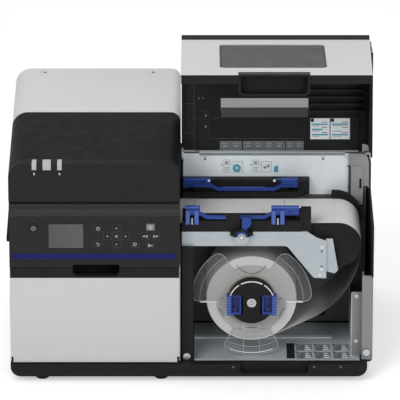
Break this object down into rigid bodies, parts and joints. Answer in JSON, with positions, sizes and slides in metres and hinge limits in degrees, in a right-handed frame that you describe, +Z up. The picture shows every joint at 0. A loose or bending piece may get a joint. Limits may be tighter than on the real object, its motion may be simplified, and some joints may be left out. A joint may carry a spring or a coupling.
{
  "type": "inkjet label printer",
  "caption": "Desktop inkjet label printer with a raised hinged roll cover, side roll holder, drop-down ink door and front key panel.",
  "frame": {"origin": "middle of the footprint box with the roll cover open, on the surface the printer stands on", "axes": "+X to the machine's right seen from the front, +Y from the front to the back, +Z up"},
  "size_m": [0.6094, 0.4932, 0.572],
  "materials": {
    "black_plastic": "fine-grained black moulding",
    "panel_black": "satin black control panel",
    "white_plastic": "fine-grained cool white moulding",
    "door_white": "smooth light grey door",
    "grey_plastic": "grey moulding",
    "plated_sheet": "zinc-plated steel sheet",
    "tray_sheet": "grey-green coated steel sheet",
    "steel": "bright steel",
    "blue_plastic": "blue touch parts",
    "stripe_blue": "deep blue strip",
    "smoked": "smoked clear window",
    "clear": "clear moulded flange",
    "lamp": "pale light pipe",
    "screen": "grey display glass",
    "paper": "label paper",
    "cardboard": "core board",
    "rubber": "black rubber",
    "key": "black keys",
    "key_grey": "grey pause key"
  },
  "bodies": {
    "chassis": {"base_tray": "black_plastic", "feet": "rubber", "left_casing": "white_plastic", "control_panel": "panel_black", "lcd_screen": "screen", "blue_stripe": "stripe_blue", "hood_front_cover": "black_plastic", "status_windows": "lamp", "exit_guide": "black_plastic", "ink_bay_frame": "black_plastic", "ink_cartridges": "black_plastic", "maintenance_box": "grey_plastic", "print_frame": "plated_sheet", "power_unit": "black_plastic", "label_web": "paper", "turn_guide": "black_plastic", "rear_guide_body": "black_plastic", "front_guide_body": "black_plastic", "shelf_plate": "plated_sheet", "bay_floor": "tray_sheet", "bay_back_wall": "black_plastic", "main_plate": "plated_sheet", "upper_jamb": "grey_plastic", "lower_jamb": "grey_plastic", "left_jamb": "black_plastic", "right_side_wall": "black_plastic", "door_stops": "steel", "right_rear_shell": "white_plastic", "hinge_pins": "steel", "bay_screws": "steel"},
    "roll_cover": {"cover_shell": "white_plastic", "cover_liner": "black_plastic", "cover_windows": "smoked", "cover_handle": "black_plastic"},
    "ink_door": {"ink_door": "door_white", "ink_door_trim": "panel_black"},
    "rear_guide_bar": {"rear_guide_bar": "blue_plastic"},
    "front_guide_bar": {"front_guide_bar": "blue_plastic"},
    "lock_lever": {"lock_lever": "blue_plastic"},
    "roll": {"label_roll": "paper", "roll_core": "cardboard", "roll_flange": "clear", "roll_spindle": "black_plastic"},
    "hub_clip_left": {"hub_clip_left": "blue_plastic"},
    "hub_clip_right": {"hub_clip_right": "blue_plastic"},
    "print_carriage": {"print_carriage": "black_plastic"},
    "feed_roller": {"feed_roller": "rubber"},
    "key_back": {"key_back": "key"},
    "key_cut": {"key_cut": "key"},
    "key_down": {"key_down": "key"},
    "key_feed_back": {"key_feed_back": "key"},
    "key_feed_forward": {"key_feed_forward": "key"},
    "key_home": {"key_home": "key"},
    "key_info": {"key_info": "key"},
    "key_left": {"key_left": "key"},
    "key_ok": {"key_ok": "key"},
    "key_pause": {"key_pause": "key_grey"},
    "key_power": {"key_power": "key"},
    "key_right": {"key_right": "key"},
    "key_up": {"key_up": "key"}
  },
  "joints": [
    {"name": "roll_cover_hinge", "type": "hinge", "parent": "chassis", "child": "roll_cover", "pos_m": [0.00275, 0.02865, 0.336], "axis": [1, 0, 0], "range_deg": [0, 98.2]},
    {"name": "ink_door_hinge", "type": "hinge", "parent": "chassis", "child": "ink_door", "pos_m": [0.00275, -0.16035, 0.0393], "axis": [1, 0, 0], "range_deg": [0, 88]},
    {"name": "rear_guide_bar_pivot", "type": "hinge", "parent": "chassis", "child": "rear_guide_bar", "pos_m": [0.00275, 0.01215, 0.2896], "axis": [1, 0, 0], "range_deg": [-28, 0]},
    {"name": "front_guide_bar_pivot", "type": "hinge", "parent": "chassis", "child": "front_guide_bar", "pos_m": [0.00275, -0.12335, 0.2896], "axis": [1, 0, 0], "range_deg": [-28, 0]},
    {"name": "lock_lever_pivot", "type": "hinge", "parent": "chassis", "child": "lock_lever", "pos_m": [0.08575, -0.14035, 0.253], "axis": [0, 1, 0], "range_deg": [-30, 0]},
    {"name": "roll_spin", "type": "hinge", "parent": "chassis", "child": "roll", "pos_m": [0.10275, -0.11735, 0.132], "axis": [0, 1, 0], "continuous": true},
    {"name": "print_carriage_slide", "type": "slide", "parent": "chassis", "child": "print_carriage", "axis": [0, 1, 0], "range_m": [-0.04, 0.065]},
    {"name": "feed_roller_spin", "type": "hinge", "parent": "chassis", "child": "feed_roller", "pos_m": [-0.05525, 0.04065, 0.25785], "axis": [0, 1, 0], "continuous": true},
    {"name": "hub_clip_left_squeeze", "type": "slide", "parent": "roll", "child": "hub_clip_left", "axis": [1, 0, 0], "range_m": [0, 0.003], "stiffness_N_per_m": 600, "springref_m": -0.003},
    {"name": "hub_clip_right_squeeze", "type": "slide", "parent": "roll", "child": "hub_clip_right", "axis": [-1, 0, 0], "range_m": [0, 0.003], "stiffness_N_per_m": 600, "springref_m": -0.003},
    {"name": "key_back_press", "type": "slide", "parent": "chassis", "child": "key_back", "axis": [0, 1, 0], "range_m": [0, 0.001], "stiffness_N_per_m": 600, "springref_m": -0.001},
    {"name": "key_cut_press", "type": "slide", "parent": "chassis", "child": "key_cut", "axis": [0, 1, 0], "range_m": [0, 0.001], "stiffness_N_per_m": 600, "springref_m": -0.001},
    {"name": "key_down_press", "type": "slide", "parent": "chassis", "child": "key_down", "axis": [0, 1, 0], "range_m": [0, 0.001], "stiffness_N_per_m": 600, "springref_m": -0.001},
    {"name": "key_feed_back_press", "type": "slide", "parent": "chassis", "child": "key_feed_back", "axis": [0, 1, 0], "range_m": [0, 0.001], "stiffness_N_per_m": 600, "springref_m": -0.001},
    {"name": "key_feed_forward_press", "type": "slide", "parent": "chassis", "child": "key_feed_forward", "axis": [0, 1, 0], "range_m": [0, 0.001], "stiffness_N_per_m": 600, "springref_m": -0.001},
    {"name": "key_home_press", "type": "slide", "parent": "chassis", "child": "key_home", "axis": [0, 1, 0], "range_m": [0, 0.001], "stiffness_N_per_m": 600, "springref_m": -0.001},
    {"name": "key_info_press", "type": "slide", "parent": "chassis", "child": "key_info", "axis": [0, 1, 0], "range_m": [0, 0.001], "stiffness_N_per_m": 600, "springref_m": -0.001},
    {"name": "key_left_press", "type": "slide", "parent": "chassis", "child": "key_left", "axis": [0, 1, 0], "range_m": [0, 0.001], "stiffness_N_per_m": 600, "springref_m": -0.001},
    {"name": "key_ok_press", "type": "slide", "parent": "chassis", "child": "key_ok", "axis": [0, 1, 0], "range_m": [0, 0.001], "stiffness_N_per_m": 600, "springref_m": -0.001},
    {"name": "key_pause_press", "type": "slide", "parent": "chassis", "child": "key_pause", "axis": [0, 1, 0], "range_m": [0, 0.001], "stiffness_N_per_m": 600, "springref_m": -0.001},
    {"name": "key_power_press", "type": "slide", "parent": "chassis", "child": "key_power", "axis": [0, 1, 0], "range_m": [0, 0.001], "stiffness_N_per_m": 600, "springref_m": -0.001},
    {"name": "key_right_press", "type": "slide", "parent": "chassis", "child": "key_right", "axis": [0, 1, 0], "range_m": [0, 0.001], "stiffness_N_per_m": 600, "springref_m": -0.001},
    {"name": "key_up_press", "type": "slide", "parent": "chassis", "child": "key_up", "axis": [0, 1, 0], "range_m": [0, 0.001], "stiffness_N_per_m": 600, "springref_m": -0.001}
  ]
}
